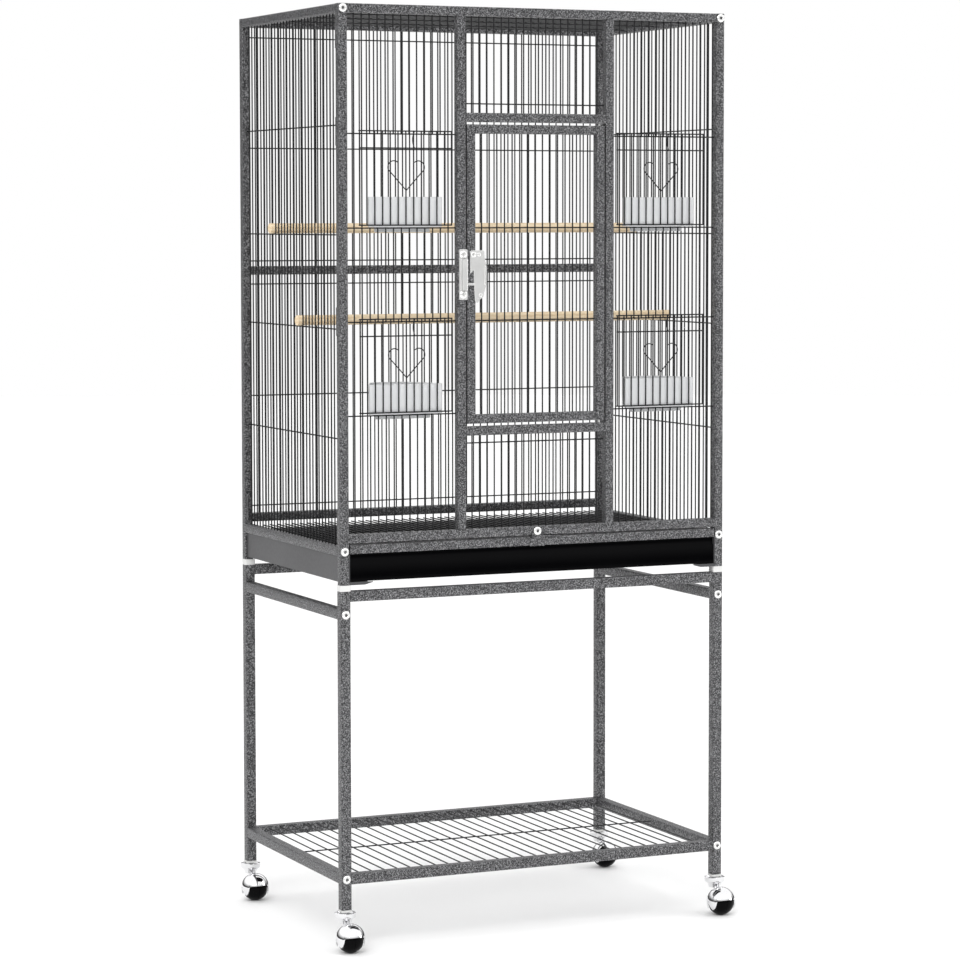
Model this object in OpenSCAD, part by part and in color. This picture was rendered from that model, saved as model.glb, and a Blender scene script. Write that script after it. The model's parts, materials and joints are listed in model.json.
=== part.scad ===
/* [Overall] */
// Width over the corner posts
cage_w = 612; // [580:2:700]
// Depth over the corner posts
cage_d = 402; // [380:2:460]
// Height of the top of the frame above the floor
total_h = 1339; // [1330:1:1380]
// Height of the foot of the cage posts
cage_base = 522; // [520:1:524]

/* [Tubes] */
// Side of the cage's square tube
post = 13; // [12.5:0.5:13.5]
// Side of the stand's square tube
leg = 15; // [14:0.5:16]
// Wall of both tubes
wall = 1; // [0.8:0.1:1.2]
// Outer corner radius of both tubes
tube_r = 1.6; // [1:0.1:2]

/* [Wire] */
// Diameter of the grille wire
wire = 2; // [1.6:0.1:2.2]
// Spacing of the upright bars
pitch = 12; // [11:0.5:14]
// Spacing of the shelf wires
shelf_pitch = 20; // [16:1:30]

/* [Front door] */
// Width of the door frame
door_w = 219; // [200:1:222]
// Width of the gap between the door posts
door_bay = 223; // [223:1:226]
// Height of the door's lower edge
door_z0 = 745.5; // [744:0.5:748]
// Height of the door's upper edge
door_z1 = 1172.5; // [1168:0.5:1174]

/* [Feeders] */
// Width of a feeder door
feeder_w = 143; // [141:1:144]
// Spacing of the long wires that cross the front
course = 132.5; // [130:0.5:134]
// Width of a feeder cup
cup_w = 115; // [100:1:118]
// Depth of a feeder cup behind its front wall
cup_d = 65; // [50:1:75]
// Height of a feeder cup
cup_h = 50; // [45:1:60]

/* [Tray] */
// Height of the tray's front
tray_h = 38; // [34:1:38]
// Thickness of the tray's sheet
tray_t = 1.2; // [1:0.1:1.5]

/* [Casters] */
// Diameter of a caster wheel
wheel_d = 40; // [38:1:42]
// Distance of the wheel's axle behind the stem
trail = 20; // [18:1:22]
// Height of the foot of the stand's legs
leg_base = 58; // [58:1:62]

/* [Hidden] */

FRAME_COLOR = "dimgray";
WIRE_COLOR = "black";
ZINC_COLOR = "silver";
WHITE_COLOR = "white";
CUP_COLOR = "gainsboro";
WOOD_COLOR = "burlywood";

// Half sizes of the plan, and the centre lines of the posts and legs
xo = cage_w / 2;
yo = cage_d / 2;
post_x = xo - post / 2;
post_y = yo - post / 2;
leg_x = xo - leg / 2;
leg_y = yo - leg / 2;
side_signs = [-1, 1];

// Wires are eight-sided prisms with flats wire apart; crossing wires bite by weld
wire_r = wire / 2 / cos(22.5);
weld = 0.3;
cut = 0.1;
cross = wire - weld;
thin_r = 0.75 / cos(22.5);
round_fn = 32;

// Heights of the cage's members, each the lower edge unless it says centre
top_rail_z = total_h - post;
side_low_z = cage_base + 41;
front_low_z = cage_base + 59;
back_low_z = cage_base + 57;
back_foot_z = cage_base + 32;
back_mid_z = cage_base + 432;
header_z = door_z1 + 3.5;
sill_z = door_z0 - 4 - post;
floor_z = front_low_z + post;

// Heights of the long wires, by centre
course_top = 1158;
front_courses = [for (i = [0:3]) course_top - i * course];
side_courses = [1170, 1016, 883, 728];
back_courses_upper = [1311, 1145, 975];
back_courses_lower = [940, 771, 603.5];

// Heights of the stand's members
leg_top = cage_base - 8.5;
stand_rail_z = leg_top - leg;
stand_side_z = leg_top - 41;
shelf_z = leg_base + 36.5;

// Upright bars of the front stand behind the front face; long wires lie behind them
bar_y = 7;
bar_front_y = -yo + bar_y;
door_bar_y = -yo + 6.5;

// The feeder bays, and the two bars in each that guide its feeder doors
bay_in = door_bay / 2 + post;
bay_out = xo - post;
bay_gaps = round((bay_out - bay_in) / pitch);
bay_step = (bay_out - bay_in) / bay_gaps;
guide_far = bay_out - 2 * bay_step;
guide_near = bay_in + bay_step;
feeder_x = (guide_far + guide_near) / 2;
feeder_y = bar_front_y - wire - 0.7;
feeder_hook_r = 2.3;
cup_t = 2;
cup_sink = 6;
cup_foot_inset = 8;
cup_front_y = bar_front_y - 0.9;

// Front door hinge and latch
hinge_x = door_w / 2 - 7;
hinge_y = -yo + 5.5;
hinge_pin_r = 2;
bush_r = 3.45;
bush_h = 9;
run = 0.05;
latch_x = -101.5;
latch_z = 987.5;
latch_y = -yo - 0.4;
lever_t = 2;
pivot_r = 2.5;

// Casters
wheel_r = wheel_d / 2;
wheel_w = 28.6;
hood_gap = 0.5;
hood_t = 1;
hood_r = wheel_r + hood_gap + hood_t;
hood_lift = 5;
collar_r = 15;
stem_r = 4;
axle_r = 2.5;
socket_fit = 0.2;

// Bolts with a button head
bolt_head_h = 2.2;
bolt_head_r = 6;
bolt_top_r = 4;
bolt_key_r = 2.6;
bolt_r = 2.4;
bolt_hole_r = 2.5;

// Shifts the plan so that the origin is at the centre of the whole outline
front_reach = leg_y + trail + sqrt(hood_r * hood_r - hood_lift * hood_lift);
back_reach = leg_y + collar_r;
plan_shift = (front_reach - back_reach) / 2;

// Points of a square with rounded corners, counter-clockwise
function rounded(w, d, r) = [
    for (c = [[1, 1, 0], [-1, 1, 90], [-1, -1, 180], [1, -1, 270]])
        for (i = [0:3])
            [c[0] * (w / 2 - r) + r * cos(c[2] + 30 * i), c[1] * (d / 2 - r) + r * sin(c[2] + 30 * i)]];

// Bar positions at about the wanted spacing, strictly between two edges
function spread(a, b, step) = let (n = max(2, round((b - a) / step))) [
    for (i = [1:n - 1]) a + (b - a) * i / n];

module tube_section(s) {
    difference() {
        polygon(rounded(s, s, tube_r));
        polygon(rounded(s - 2 * wall, s - 2 * wall, tube_r - wall + 0.2));
    }
}

module tube_x(x0, x1, y, z, s = post)
    translate([x0, y, z]) rotate([90, 0, 90]) linear_extrude(x1 - x0) tube_section(s);

module tube_y(y0, y1, x, z, s = post)
    translate([x, y1, z]) rotate([90, 0, 0]) linear_extrude(y1 - y0) tube_section(s);

module tube_z(z0, z1, x, y, s = post)
    translate([x, y, z0]) linear_extrude(z1 - z0) tube_section(s);

module wire_z(z0, z1, x, y, r = wire_r)
    translate([x, y, z0]) rotate([0, 0, 22.5]) cylinder(h = z1 - z0, r = r, $fn = 8);

module wire_x(x0, x1, y, z, r = wire_r)
    translate([x0, y, z]) rotate([0, 90, 0]) rotate([0, 0, 22.5]) cylinder(h = x1 - x0, r = r, $fn = 8);

module wire_y(y0, y1, x, z, r = wire_r)
    translate([x, y1, z]) rotate([90, 0, 0]) rotate([0, 0, 22.5]) cylinder(h = y1 - y0, r = r, $fn = 8);

// A welded panel in the XZ plane: upright bars at xs, long wires at zs set off by dy
module grille_xz(xs, z0, z1, zs, x0, x1, y, dy) {
    union() {
        for (x = xs) wire_z(z0, z1, x, y);
        for (z = zs) wire_x(x0, x1, y + dy, z);
    }
}

// A welded panel in the YZ plane
module grille_yz(ys, z0, z1, zs, y0, y1, x, dx) {
    union() {
        for (y = ys) wire_z(z0, z1, x, y);
        for (z = zs) wire_y(y0, y1, x + dx, z);
    }
}

// A button-head frame bolt along Y; out is the side its head is on, at face y
module bolt_y(x, y, z, out, shank = 24) {
    rim_h = bolt_head_h * 0.45;
    translate([x, y, z]) rotate([90 * -out, 0, 0]) {
        difference() {
            union() {
                cylinder(h = rim_h, r = bolt_head_r, $fn = round_fn);
                translate([0, 0, rim_h])
                    cylinder(h = bolt_head_h - rim_h, r1 = bolt_head_r - 0.3, r2 = bolt_top_r, $fn = round_fn);
            }
            translate([0, 0, 0.8]) cylinder(h = bolt_head_h, r = bolt_key_r, $fn = 6);
        }
        translate([0, 0, -shank]) cylinder(h = shank, r = bolt_r, $fn = round_fn);
    }
}

// ---- Stand ----

module bolt_holes(s, xc, zs) {
    for (z = zs)
        translate([xc, -2 * s, z]) rotate([-90, 0, 0]) cylinder(h = 4 * s, r = bolt_hole_r, $fn = round_fn);
}

module corner_uprights(z0, z1, cx, cy, s, bolt_zs) {
    for (sx = side_signs)
        for (sy = side_signs)
            translate([sx * cx, sy * cy, 0]) difference() {
                tube_z(z0, z1, 0, 0, s);
                bolt_holes(s, 0, bolt_zs);
            }
}

stand_bolt_zs = [stand_side_z + leg / 2, shelf_z + leg / 2];
cage_bolt_zs = [top_rail_z + post / 2, side_low_z + post / 2];

module stand_legs() {
    color(FRAME_COLOR) corner_uprights(leg_base, leg_top, leg_x, leg_y, leg, stand_bolt_zs);
}

module stand_top_rails() {
    color(FRAME_COLOR) for (sy = side_signs)
        tube_x(-xo + leg, xo - leg, sy * leg_y, stand_rail_z + leg / 2, leg);
}

module stand_side_rails() {
    color(FRAME_COLOR) for (sx = side_signs)
        tube_y(-yo + leg, yo - leg, sx * leg_x, stand_side_z + leg / 2, leg);
}

module shelf_rails() {
    color(FRAME_COLOR) {
        for (sy = side_signs) tube_x(-xo + leg, xo - leg, sy * leg_y, shelf_z + leg / 2, leg);
        for (sx = side_signs) tube_y(-yo + leg, yo - leg, sx * leg_x, shelf_z + leg / 2, leg);
    }
}

module shelf_grid() {
    grid_z = shelf_z + leg - 3;
    color(WIRE_COLOR) union() {
        for (x = spread(-xo + leg, xo - leg, shelf_pitch)) wire_y(-yo + leg, yo - leg, x, grid_z);
        wire_x(-xo + leg, xo - leg, 0, grid_z - cross);
    }
}

module frame_bolts(cx, face, zs) {
    for (sx = side_signs)
        for (sy = side_signs)
            for (z = zs) bolt_y(sx * cx, sy * face, z, sy);
}

module stand_bolts() {
    color(ZINC_COLOR) frame_bolts(leg_x, yo, stand_bolt_zs);
}

// A plug in each leg, with a bore for the caster's stem
module caster_sockets() {
    plug = leg - 2 * wall - socket_fit;
    flange_t = 3;
    color(WHITE_COLOR) for (sx = side_signs)
        for (sy = side_signs)
            translate([sx * leg_x, sy * leg_y, leg_base]) difference() {
                union() {
                    translate([0, 0, -flange_t]) linear_extrude(flange_t) polygon(rounded(leg + 1, leg + 1, 2.5));
                    linear_extrude(34) polygon(rounded(plug, plug, 1));
                }
                translate([0, 0, -4]) cylinder(h = 50, r = stem_r + run, $fn = round_fn);
            }
}

// A block between leg and post, with a plug into each
module post_spacers() {
    spigot = post - 2 * wall - socket_fit;
    foot = leg - 2 * wall - socket_fit;
    plug_l = 14;
    root = 0.5;
    color(WHITE_COLOR) for (sx = side_signs)
        for (sy = side_signs) {
            translate([sx * leg_x, sy * leg_y, leg_top]) {
                linear_extrude(cage_base - leg_top) polygon(rounded(leg + 1, leg + 1, 2));
                translate([0, 0, -plug_l]) linear_extrude(plug_l + root) polygon(rounded(foot, foot, 1));
            }
            translate([sx * post_x, sy * post_y, cage_base - root])
                linear_extrude(plug_l + root) polygon(rounded(spigot, spigot, 1));
        }
}

// ---- Cage frame ----

module cage_posts() {
    color(FRAME_COLOR) corner_uprights(cage_base, total_h, post_x, post_y, post, cage_bolt_zs);
}

module front_top_rail() {
    color(FRAME_COLOR) tube_x(-xo + post, xo - post, -post_y, top_rail_z + post / 2);
}

module front_bottom_rail() {
    color(FRAME_COLOR) difference() {
        tube_x(-xo + post, xo - post, -post_y, front_low_z + post / 2);
        translate([0, -post_y, front_low_z + post / 2]) bolt_holes(post, 0, [0]);
    }
}

module door_posts() {
    color(FRAME_COLOR) for (sx = side_signs)
        difference() {
            tube_z(floor_z, top_rail_z, sx * (door_bay + post) / 2, -post_y);
            if (sx < 0) translate([0, -post_y, 0]) screw_holes();
        }
}

// The tube over and under the door, each with a round hole for a hinge bush
module hinged_rail(z, hole_z) {
    difference() {
        tube_x(-door_bay / 2, door_bay / 2, -post_y, z + post / 2);
        translate([hinge_x, hinge_y, hole_z])
            cylinder(h = 3 * wall, r = bush_r, center = true, $fn = round_fn);
    }
}

module door_header() {
    color(FRAME_COLOR) hinged_rail(header_z, header_z);
}

module door_sill() {
    color(FRAME_COLOR) hinged_rail(sill_z, sill_z + post);
}

module door_hinge_bushes() {
    color(ZINC_COLOR) for (z = [header_z, sill_z + post - bush_h])
        translate([hinge_x, hinge_y, z]) difference() {
            cylinder(h = bush_h, r = bush_r, $fn = round_fn);
            translate([0, 0, -1]) cylinder(h = bush_h + 2, r = hinge_pin_r + run, $fn = round_fn);
        }
}

module back_rails() {
    color(FRAME_COLOR) for (z = [top_rail_z, back_mid_z, back_low_z, back_foot_z])
        tube_x(-xo + post, xo - post, post_y, z + post / 2);
}

module side_rails(sx) {
    color(FRAME_COLOR) for (z = [top_rail_z, side_low_z])
        tube_y(-yo + post, yo - post, sx * post_x, z + post / 2);
}

// ---- Wire panels of the cage ----

// Bars of the left bay: three welded bands, and the bars beside each feeder opening,
// parted by hairline cuts so that each stays a solid of its own
module front_bay_bars() {
    xs = spread(-bay_out, -bay_in, pitch);
    bands = [
        [floor_z, front_courses[3] + 1, [front_courses[3]]],
        [front_courses[2] - 1, front_courses[1] + 1, [front_courses[2], front_courses[1]]],
        [front_courses[0] - 1, top_rail_z, [front_courses[0]]]];
    n = len(xs);
    for (b = bands) grille_xz(xs, b[0], b[1], b[2], -bay_out, -bay_in, bar_front_y, cross);
    for (x = [xs[0], xs[1], xs[n - 1]])
        for (i = [0, 2]) wire_z(front_courses[i + 1] + 1 + cut, front_courses[i] - 1 - cut, x, bar_front_y);
}

module front_bars_left() {
    color(WIRE_COLOR) front_bay_bars();
}

module front_bars_right() {
    color(WIRE_COLOR) mirror([1, 0, 0]) front_bay_bars();
}

module front_bars_over_door() {
    xs = spread(-door_bay / 2, door_bay / 2, pitch);
    color(WIRE_COLOR) grille_xz(xs, header_z + post, top_rail_z, [header_z + 26], -door_bay / 2,
        door_bay / 2, bar_front_y, cross);
}

module front_bars_under_door() {
    xs = spread(-door_bay / 2, door_bay / 2, pitch);
    color(WIRE_COLOR) grille_xz(xs, floor_z, sill_z, [sill_z - 11], -door_bay / 2, door_bay / 2,
        bar_front_y, cross);
}

module back_bars(z0, z1, zs) {
    xs = spread(-xo + post, xo - post, pitch);
    color(WIRE_COLOR) grille_xz(xs, z0, z1, zs, -xo + post, xo - post, yo - bar_y, -cross);
}

module back_bars_upper() {
    back_bars(back_mid_z + post, top_rail_z, back_courses_upper);
}

module back_bars_lower() {
    back_bars(back_low_z + post, back_mid_z, back_courses_lower);
}

side_bar_ys = spread(-yo + post, yo - post, pitch);
side_bar_x = xo - 6.5;

module side_bars(sx) {
    color(WIRE_COLOR) grille_yz(side_bar_ys, side_low_z + post, top_rail_z, side_courses, -yo + post,
        yo - post, sx * side_bar_x, -sx * cross);
}

module roof_bars() {
    roof_z = top_rail_z + post / 2;
    color(WIRE_COLOR) union() {
        for (x = spread(-xo + post, xo - post, pitch)) wire_y(-yo + post, yo - post, x, roof_z);
        for (y = [-yo / 2, 0, yo / 2]) wire_x(-xo + post, xo - post, y, roof_z - cross);
    }
}

module side_skirts() {
    color(FRAME_COLOR) for (sx = side_signs)
        translate([sx * (xo - 3.5), 0, (cage_base + 4 + side_low_z) / 2])
            cube([1, cage_d - 2 * post, side_low_z - cage_base - 4], center = true);
}

// Steel tabs that hook the side panels to the posts
module hook_plates() {
    hook_zs = [1297, 1161, 894, 602];
    color(FRAME_COLOR) for (sx = side_signs)
        for (sy = side_signs)
            for (z = hook_zs)
                translate([sx * (xo - 3), sy * (yo - post - 3.2), z]) cube([1.6, 6.4, 40], center = true);
}

module cage_bolts() {
    color(ZINC_COLOR) {
        frame_bolts(post_x, yo, cage_bolt_zs);
        bolt_y(0, -yo - clip_t - 2 * clip_gap, clip_z, -1, 12);
        for (z = keeper_screws) bolt_y(keeper_cx, -yo - keeper_t, z, -1, 14);
    }
}

// ---- Perches ----

perch_r = 7.5;
upper_perch_bar = 21;
lower_perch_bar = 12;

// A dowel that stands on the side panels' long wires, each end slotted for one bar
module perch(bar_index, course_z) {
    y = side_bar_ys[bar_index];
    color(WOOD_COLOR) difference() {
        translate([-xo + 1, y, course_z + wire / 2 + perch_r]) rotate([0, 90, 0])
            cylinder(h = 2 * xo - 2, r = perch_r, $fn = 48);
        for (sx = side_signs)
            translate([sx * (xo - 3.9), y, course_z + perch_r])
                cube([7.8, wire + 0.4, 3 * perch_r], center = true);
    }
}

module perch_upper() {
    perch(upper_perch_bar, side_courses[1]);
}

module perch_lower() {
    perch(lower_perch_bar, side_courses[2]);
}

// ---- Front door ----

module door_frame() {
    rail_in = door_w / 2 - post - cut;
    color(FRAME_COLOR) {
        for (sx = side_signs)
            difference() {
                tube_z(door_z0, door_z1, sx * (door_w - post) / 2, -post_y);
                if (sx < 0) translate([latch_x, -post_y, latch_z]) bolt_holes(post, 0, [0]);
            }
        for (z = [door_z0, door_z1 - post]) tube_x(-rail_in, rail_in, -post_y, z + post / 2);
    }
}

module door_bars() {
    half = door_w / 2 - post;
    color(WIRE_COLOR) grille_xz(spread(-half, half, pitch), door_z0 + post, door_z1 - post,
        [front_courses[1], front_courses[2]], -half, half, door_bar_y, cross);
}

module door_hinge_pins() {
    plug = post - 2 * wall - 0.1;
    color(ZINC_COLOR) for (end = [[door_z0 - 10, door_z0], [door_z1 - 6, door_z1 - 8]]) union() {
        translate([hinge_x, hinge_y, end[0]]) cylinder(h = 16, r = hinge_pin_r, $fn = round_fn);
        translate([(door_w - post) / 2, -post_y, end[1]]) linear_extrude(8) polygon(rounded(plug, plug, 1));
    }
}

// ---- Latch ----

keeper_w = 13;
keeper_t = 1.2;
keeper_h = 72;
keeper_z = 923;
keeper_cx = -door_w / 2 - 0.2 - keeper_w / 2;
channel_w = 9;
channel_h = 45;
channel_d = 5;
keeper_screws = [keeper_z + 7.5, keeper_z + keeper_h - 7.5];

module screw_holes() {
    bolt_holes(post, keeper_cx, keeper_screws);
}

module latch_keeper() {
    cz = keeper_z + keeper_h / 2;
    color(ZINC_COLOR) {
        difference() {
            union() {
                translate([keeper_cx, -yo - keeper_t / 2, cz])
                    cube([keeper_w, keeper_t, keeper_h], center = true);
                translate([keeper_cx + 0.8, -yo - keeper_t - channel_d / 2, cz]) difference() {
                    cube([channel_w, channel_d, channel_h], center = true);
                    translate([0, keeper_t, 0])
                        cube([channel_w - 2 * keeper_t, channel_d, channel_h + 1], center = true);
                }
            }
            translate([0, -yo, 0]) screw_holes();
            // Slot in front of the lever's tongue
            translate([keeper_cx + channel_w / 2, -yo - channel_d / 2 - keeper_t, latch_z - 42])
                cube([4, 3.4, 10], center = true);
        }
    }
}

// The lever hangs from its pivot; the nose and the tongue face the keeper
module latch_lever() {
    outline = [
        [-2.5, 6], [-4.5, 4], [-4.5, -27], [1, -22.5], [1.5, -45], [3, -66], [4.3, -68.5],
        [7.9, -68.5], [9.5, -65], [15.5, -61], [20.5, -43], [20.7, -16], [19, -10], [17.3, 4], [15.5, 6]];
    color(ZINC_COLOR) translate([latch_x, latch_y, latch_z]) rotate([90, 0, 0]) difference() {
        union() {
            linear_extrude(lever_t) polygon(outline);
            // Tongue, and the rib folded along the free edge
            translate([-7.7, -44, 0.2]) cube([10, 3.5, 1.6]);
            translate([17.7, -44, 0]) cube([2.6, 28, 4]);
        }
        translate([0, 0, -1]) cylinder(h = 5, r = pivot_r + run, $fn = round_fn);
        for (p = [[9, 0], [11.5, -58]])
            translate([p[0], p[1], -1]) cylinder(h = 5, r = 1.8, $fn = round_fn);
    }
}

module latch_pivot_screw() {
    color(ZINC_COLOR) translate([latch_x, latch_y, latch_z]) rotate([90, 0, 0]) {
        translate([0, 0, -12]) cylinder(h = 14.4, r = pivot_r, $fn = round_fn);
        translate([0, 0, 2.4]) difference() {
            cylinder(h = 2, r1 = 4.6, r2 = 3.2, $fn = round_fn);
            translate([0, 0, 1]) cylinder(h = 2, r = 1.6, $fn = 6);
        }
    }
}

// ---- Feeder doors and cups ----

// A heart of thin wire in the XZ plane, its point at the origin
module wire_heart() {
    lobe_r = 9.2;
    lobe_x = 18.8;
    lobe_z = 32.5;
    straight = 40;
    for (sx = side_signs)
        mirror([sx < 0 ? 1 : 0, 0, 0]) {
            rotate([0, 43, 0]) rotate([0, 0, 22.5]) cylinder(h = straight, r = thin_r, $fn = 8);
            translate([lobe_x, 0, lobe_z]) rotate([90, 0, 0]) rotate([0, 0, -35])
                rotate_extrude(angle = 165, $fn = 40) translate([lobe_r, 0]) circle(r = thin_r, $fn = 8);
        }
}

// A stay of thin wire that hangs down by span from the origin and bows out sideways by rise
module wire_bow(span, rise) {
    bow_r = (span * span / 4 + rise * rise) / (2 * rise);
    half = asin(span / 2 / bow_r);
    translate([bow_r - rise, 0, -span / 2]) rotate([90, 0, 0]) rotate([0, 0, 180 - half])
        rotate_extrude(angle = 2 * half, $fn = 96) translate([bow_r, 0]) circle(r = thin_r, $fn = 8);
}

// Half ring of thin wire in front of a guide bar
module guide_hook() {
    rotate([0, 0, 180]) rotate_extrude(angle = 180, $fn = 32)
        translate([feeder_hook_r, 0]) circle(r = thin_r, $fn = 8);
}

// A wire door whose hooks ride on the bars beside the opening
module feeder_door(sx, row) {
    overlap = 4;
    heart_z = 49;
    stay_x = 13;
    z1 = front_courses[row] + overlap;
    z0 = front_courses[row + 1] + overlap;
    xs = spread(-feeder_w / 2, feeder_w / 2, pitch);
    rail_gap = 24;
    rail_zs = [z0, z1 - rail_gap, z1];
    bars = concat([-feeder_w / 2 + 1], xs, [feeder_w / 2 - 1]);
    color(WIRE_COLOR) mirror([sx < 0 ? 0 : 1, 0, 0]) union() {
        translate([-feeder_x, 0, 0])
            grille_xz(bars, z0, z1, rail_zs, -feeder_w / 2, feeder_w / 2, feeder_y, 0.4);
        for (x = [-guide_far, -guide_near])
            for (z = [z0, z1]) translate([x, bar_front_y, z]) guide_hook();
        translate([-feeder_x, feeder_y - 1.2, z0 + heart_z]) wire_heart();
        translate([-feeder_x + stay_x, feeder_y - 1.2, z1]) wire_bow(rail_gap, 3);
    }
}

cup_z0 = [front_courses[1] - cup_sink, front_courses[3] - cup_sink];

// Outline of a cup: straight front, sides that close in to a rounded back, shrunk by t and set back by s
module cup_outline(t, s) {
    r = 18;
    back_x = cup_w / 2 - 22 - t - r;
    back_y = cup_d - t - r;
    slope = (cup_w / 2 - t - back_x - r * cos(24)) / (back_y + r * sin(24));
    front_x = cup_w / 2 - t - s * slope;
    polygon(concat(
        [[-front_x, s], [front_x, s]],
        [for (a = [24:11:90]) [back_x + r * cos(a), back_y + r * sin(a)]],
        [for (a = [90:11:156]) [-back_x + r * cos(a), back_y + r * sin(a)]]));
}

module feeder_cup(sx, row) {
    z0 = cup_z0[row];
    step_z = cup_sink + wire / 2 + 0.3;
    set_back = bar_y - (cup_front_y + yo) + cross + wire / 2 + 0.8;
    color(CUP_COLOR) translate([sx * feeder_x, cup_front_y, z0]) difference() {
        union() {
            linear_extrude(step_z + cup_t) cup_outline(cup_foot_inset, set_back);
            translate([0, 0, step_z]) linear_extrude(cup_h - step_z) cup_outline(0, 0);
        }
        translate([0, 0, cup_t]) linear_extrude(cup_h) cup_outline(cup_foot_inset + cup_t, set_back + cup_t);
        translate([0, 0, step_z + cup_t]) linear_extrude(cup_h) cup_outline(cup_t, cup_t);
    }
}

// ---- Grate, tray and clip ----

grate_gap = 1.4;
grate_z = front_low_z - 2 - post;
grate_wire_z = grate_z + 6;
tray_z0 = cage_base + 5;
runner_z = tray_z0 - 1.6;
tray_top = tray_z0 + tray_h;
bay_x = xo - post;
clip_t = 1.5;
clip_gap = 0.4;
clip_z = front_low_z + post / 2;
clip_r = 12;
tab_foot = grate_z - 0.4 - clip_z;

module grate_front_bar() {
    color(FRAME_COLOR) {
        tube_x(-bay_x + grate_gap, bay_x - grate_gap, -post_y, grate_z + post / 2);
        // Tab under the turn clip, its top edge hollowed round the clip's bolt
        translate([0, -yo, clip_z]) rotate([90, 0, 0]) linear_extrude(clip_t) polygon(concat(
            [for (a = [-130:10:-50]) (clip_r + clip_gap) * [cos(a), sin(a)]],
            [[12.6, tab_foot + 1.5], [11, tab_foot], [-11, tab_foot], [-12.6, tab_foot + 1.5]]));
    }
}

module grate_wires() {
    edge = bay_x - 2.5;
    y0 = -yo + post;
    y1 = yo - post - 3;
    color(WIRE_COLOR) union() {
        for (x = spread(-edge, edge, pitch)) wire_y(y0, y1, x, grate_wire_z + cross);
        for (sx = side_signs) wire_y(y0, y1, sx * edge, grate_wire_z + cross);
        for (y = [y0 + 6, -yo / 3, yo / 3, y1 - 1.5]) wire_x(-edge - 1, edge + 1, y, grate_wire_z);
    }
}

// Clip that turns on a bolt in the front bottom rail
module grate_clip() {
    color(FRAME_COLOR) translate([0, -yo - clip_gap, clip_z]) rotate([90, 0, 0]) difference() {
        union() {
            linear_extrude(clip_t)
                polygon(concat([for (a = [-140:10:-40]) clip_r * [cos(a), sin(a)]],
                    [[6, 1], [3, 5], [-3, 5], [-6, 1]]));
            translate([7, -9, 0]) cube([30, 1.6, clip_t]);
        }
        translate([0, 0, -1]) cylinder(h = 4, r = bolt_r + run, $fn = round_fn);
    }
}

// An open pan with a stepped front
module drip_tray() {
    step_z = tray_z0 + 26;
    set_back = 3;
    side_h = tray_h - 8;
    half = bay_x - 1.8;
    y0 = -yo + 2;
    y1 = yo - post - 3;
    front = [
        [y0, tray_z0], [y0 + tray_t, tray_z0], [y0 + tray_t, step_z], [y0 + tray_t + set_back, step_z + 4],
        [y0 + tray_t + set_back, tray_top], [y0 + set_back, tray_top], [y0 + set_back, step_z + 4.5],
        [y0, step_z + 0.5]];
    color(WIRE_COLOR) union() {
        translate([-half, 0, 0]) rotate([90, 0, 90]) linear_extrude(2 * half) polygon(front);
        translate([-half, y0, tray_z0]) cube([2 * half, y1 - y0, tray_t]);
        translate([-half, y1 - tray_t, tray_z0]) cube([2 * half, tray_t, side_h]);
        for (sx = side_signs)
            translate([sx * (half - tray_t / 2) - tray_t / 2, y0 + set_back, tray_z0])
                cube([tray_t, y1 - y0 - set_back, side_h]);
    }
}

// Angles that the tray slides on, each with a plate under its front end, and the ledges under the grate
module tray_runners() {
    t = 1;
    lip = 30;
    ledge_z = grate_wire_z - wire / 2 - 0.5;
    color(FRAME_COLOR) for (sx = side_signs)
        mirror([sx < 0 ? 1 : 0, 0, 0]) {
            translate([bay_x - t, -yo, runner_z]) cube([t, cage_d - post, side_low_z + 4 - tray_z0]);
            translate([bay_x - lip, -yo, runner_z]) cube([lip, cage_d - post, t]);
            translate([0, -yo + t, 0]) rotate([90, 0, 0]) linear_extrude(t) polygon([
                [bay_x, cage_base + 0.2], [bay_x - lip + 6, cage_base + 0.2], [bay_x - lip - 6, runner_z],
                [bay_x - lip - 6, runner_z + t], [bay_x, runner_z + t]]);
            translate([bay_x - 7, -yo + post + 1, ledge_z - t]) cube([7, cage_d - 2 * post - 2, t]);
        }
}

// ---- Casters ----

// Stem, cup and hood of one caster; the hood is open below and in front
module caster_hood() {
    ear_x = 15.2;
    neck_z = wheel_r + 6;
    flare_z = leg_base - 13.5;
    neck_top_z = leg_base - 13;
    cup_low_z = leg_base - 10.5;
    color(ZINC_COLOR) {
        difference() {
            union() {
                translate([0, 0, leg_base - 14]) cylinder(h = 44, r = stem_r, $fn = round_fn);
                translate([0, 0, flare_z]) cylinder(h = 3, r1 = 11, r2 = collar_r, $fn = 48);
                translate([0, 0, cup_low_z]) cylinder(h = 6.5, r = collar_r, $fn = 48);
                translate([0, 0, neck_z]) cylinder(h = neck_top_z - neck_z, r1 = 8, r2 = 11, $fn = 48);
                translate([0, -trail, wheel_r]) difference() {
                    sphere(r = hood_r, $fn = 64);
                    translate([0, 0, -hood_r - 8]) cube([3 * hood_r, 3 * hood_r, 2 * hood_r], center = true);
                    translate([-ear_x, -2 * hood_r, -2 * hood_r])
                        cube([2 * ear_x, 4 * hood_r, 2 * hood_r + hood_lift]);
                }
            }
            translate([0, -trail, wheel_r]) sphere(r = wheel_r + hood_gap, $fn = 64);
            translate([0, 0, leg_base - 7]) difference() {
                cylinder(h = 4, r = collar_r - 1.4, $fn = 48);
                translate([0, 0, -1]) cylinder(h = 6, r = stem_r, $fn = round_fn);
            }
            translate([-hood_r, -trail, wheel_r]) rotate([0, 90, 0])
                cylinder(h = 2 * hood_r, r = axle_r, $fn = round_fn);
        }
        translate([-hood_r, -trail, wheel_r]) rotate([0, 90, 0])
            cylinder(h = 2 * hood_r, r = axle_r, $fn = round_fn);
    }
}

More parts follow.
